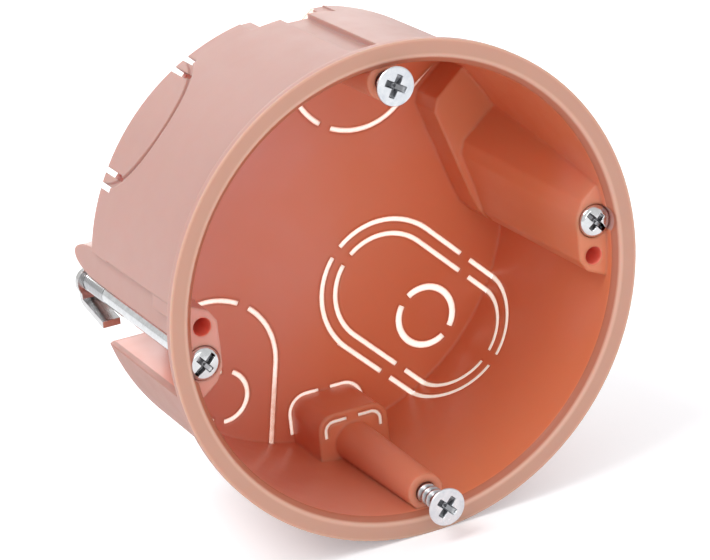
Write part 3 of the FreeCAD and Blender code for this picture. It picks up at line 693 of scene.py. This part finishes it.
def claw_screw(name, body, side, turn):
    """Pan-headed screw with a cross and a slot, a long plain shank and a threaded end."""
    low, high = node_box(name)
    front, back = low[1], high[1]
    head, thick, shank = 2.4, 1.8, 1.45
    around = (side * CLAW_PLACE * math.cos(CLAW_TURN), side * CLAW_PLACE * math.sin(CLAW_TURN))
    brim = [(head - 0.55, front + 0.28), (head - 0.25, front + 0.46), (head - 0.06, front + 0.78),
            (head, front + 1.1), (head, front + thick), (shank, front + thick),
            (shank, back - 9.0)]
    tip = [(1.2, back - 0.6), (0.9, back - 0.2), (0.8, back), (0.0, back)]
    parts = [
        driven_face(head - 0.55, front, 0.28, around, turn, 1.35, 0.36, 1.1, (0.3, 0.75)),
        turned(brim, around, 144),
        threaded(1.2, shank, 0.6, back - 9.0, back - 0.6, around, 0.3),
        turned(tip, around, 40),
    ]
    return mesh_piece(name + "_detailed", parts, bright, body, (name,), 35.0)


claw_screw("claw_screw_left", "left_claw_screw", -1, math.radians(40))
claw_screw("claw_screw_right", "right_claw_screw", 1, math.radians(-50))

# Floor, light and camera
def flat_material(name, colour, roughness, glow):
    """Plain matt surface for the studio that looks lit a little from within, as a light table
    does: the glow shows to the camera only and lights nothing."""
    material = bpy.data.materials.new(name)
    material.use_nodes = True
    shader = material.node_tree.nodes["Principled BSDF"]
    shader.inputs["Base Color"].default_value = colour
    shader.inputs["Roughness"].default_value = roughness
    shader.inputs["Specular IOR Level"].default_value = 0.2
    shader.inputs["Emission Color"].default_value = (0.93 * glow, 0.96 * glow, glow, 1)
    path = material.node_tree.nodes.new("ShaderNodeLightPath")
    material.node_tree.links.new(path.outputs["Is Camera Ray"], shader.inputs["Emission Strength"])
    return material


def studio_floor():
    """Large level sheet that the box stands on."""
    reach = 3.0
    mesh = bpy.data.meshes.new("studio_floor")
    corners = [(-reach, -reach, 0), (reach, -reach, 0), (reach, reach, 0), (-reach, reach, 0)]
    mesh.from_pydata([(x, y, FLOOR_Z * MM) for x, y, _ in corners], [], [(0, 1, 2, 3)])
    mesh.materials.append(flat_material("pale_floor", (0.95, 0.955, 0.97, 1), 0.7, 0.24))
    floor = bpy.data.objects.new("studio_floor", mesh)
    bpy.context.scene.collection.objects.link(floor)


def soft_light(name, place, target, size, power):
    """Square area light at a place, facing a target, both in metres."""
    data = bpy.data.lights.new(name, "AREA")
    data.shape = "SQUARE"
    data.size = size
    data.energy = power
    lamp = bpy.data.objects.new(name, data)
    bpy.context.scene.collection.objects.link(lamp)
    lamp.location = place
    lamp.rotation_mode = "QUATERNION"
    lamp.rotation_quaternion = (Vector(target) - Vector(place)).to_track_quat("-Z", "Y")


def studio_air(strength):
    """Even white light from all sides."""
    world = bpy.data.worlds.new("studio_air")
    bpy.context.scene.world = world
    world.use_nodes = True
    background = world.node_tree.nodes["Background"]
    background.inputs["Color"].default_value = (1.0, 1.0, 1.0, 1)
    background.inputs["Strength"].default_value = strength


def photo_camera():
    """Camera at the photograph's place: its columns are right, up and backwards."""
    data = bpy.data.cameras.new("photo_camera")
    data.sensor_width = 36.0
    data.lens = 156.97
    data.shift_x = -0.00334
    data.shift_y = -0.00652
    data.clip_start = 0.02
    data.clip_end = 20.0
    camera = bpy.data.objects.new("photo_camera", data)
    bpy.context.scene.collection.objects.link(camera)
    right, up = (0.8914, -0.4428, -0.0972), (0.2364, 0.2711, 0.9331)
    back = (-0.3868, -0.8547, 0.3463)
    turn = Matrix((right, up, back)).transposed().to_4x4()
    camera.matrix_world = Matrix.Translation((-0.168560, -0.356654, 0.148811)) @ turn
    bpy.context.scene.camera = camera


studio_floor()
centre = (0.0, 0.015, 0.0)
soft_light("key_softbox", (-0.5, -0.12, 0.78), centre, 0.45, 3.6)
soft_light("front_fill", (-0.1, -0.9, 0.35), centre, 0.5, 1.1)
soft_light("back_light", (0.12, 0.55, 0.05), centre, 0.35, 1.5)
studio_air(0.73)
bpy.context.scene.view_settings.view_transform = "Standard"
photo_camera()
